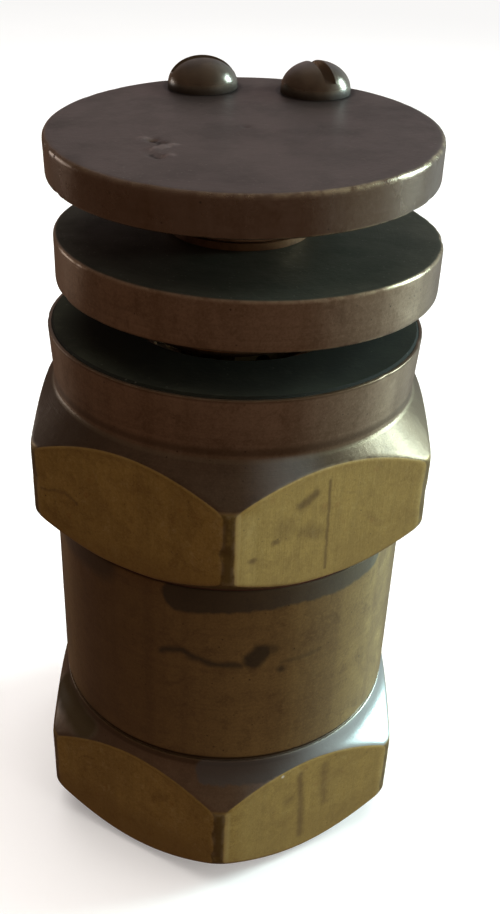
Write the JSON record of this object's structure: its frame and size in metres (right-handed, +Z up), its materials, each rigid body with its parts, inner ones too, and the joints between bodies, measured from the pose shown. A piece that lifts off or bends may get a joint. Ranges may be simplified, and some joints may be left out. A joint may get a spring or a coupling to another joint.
{
  "type": "automatic float air vent",
  "caption": "Brass automatic air vent with hexagon inlet and bonnet, a float-worked needle inside, a loose closing disc and a round screw-down cap.",
  "frame": {"origin": "centre of the inlet's bottom face, on the vent's axis", "axes": "+Z up along the vent's axis from the inlet to the cap; a corner of each hexagon points along -Y and two flats face +X and -X; the cap's screws are on the +Y side"},
  "size_m": [0.0361, 0.041, 0.0755],
  "materials": {
    "brass": "aged, drawn along the hexagon flats, brown stains",
    "dark_brass": "matte brown patina, bare brass at the rim",
    "turned_brass": "turned, lightly tarnished",
    "screw_brass": "dark, satin",
    "sheet_brass": "rolled sheet, tarnished",
    "spring_bronze": "drawn wire",
    "pin_steel": "ground",
    "black_rubber": "matte, dusty",
    "fibre": "vulcanised fibre",
    "hard_rubber": "moulded hard rubber"
  },
  "bodies": {
    "vent_body": {"body": "brass", "bonnet": "brass", "joint_gasket": "fibre", "seat_facing": "black_rubber", "stud": "turned_brass", "disc_spring": "spring_bronze", "lever_bracket": "sheet_brass", "pivot_pin": "pin_steel", "nozzle": "turned_brass", "nozzle_washer": "fibre", "strainer": "sheet_brass", "strainer_circlip": "pin_steel"},
    "disc": {"closing_disc": "dark_brass", "thrust_washer": "turned_brass"},
    "cap": {"cap": "dark_brass", "lock_screws": "screw_brass"},
    "float": {"float_lower_shell": "hard_rubber", "float_upper_shell": "hard_rubber", "float_stem": "turned_brass", "float_pin": "pin_steel"},
    "lever": {"float_lever": "sheet_brass"},
    "needle": {"needle": "pin_steel", "needle_pin": "pin_steel"}
  },
  "joints": [
    {"name": "disc_travel", "type": "slide", "parent": "vent_body", "child": "disc", "axis": [0, 0, 1], "range_m": [-0.0039, 0], "stiffness_N_per_m": 400, "springref_m": 0.003, "deforming": ["disc_spring"]},
    {"name": "cap_turn", "type": "hinge", "parent": "disc", "child": "cap", "pos_m": [0, 0, 0.0665], "axis": [0, 0, 1], "range_deg": [-1404, 0]},
    {"name": "float_rise", "type": "slide", "parent": "vent_body", "child": "float", "axis": [0, 0, 1], "range_m": [0, 0.002]},
    {"name": "lever_swing", "type": "hinge", "parent": "vent_body", "child": "lever", "pos_m": [-0.0075, 0, 0.031], "axis": [0, -1, 0], "range_deg": [0, 7.65]},
    {"name": "needle_lift", "type": "slide", "parent": "vent_body", "child": "needle", "axis": [0, 0, 1], "range_m": [0, 0.001]}
  ],
  "couplings": [
    {"joint": "cap_turn", "follows": "disc_travel", "rad_per_m": 6283.2},
    {"joint": "lever_swing", "follows": "float_rise", "rad_per_m": 66.667},
    {"joint": "needle_lift", "follows": "float_rise", "ratio": 0.5}
  ]
}
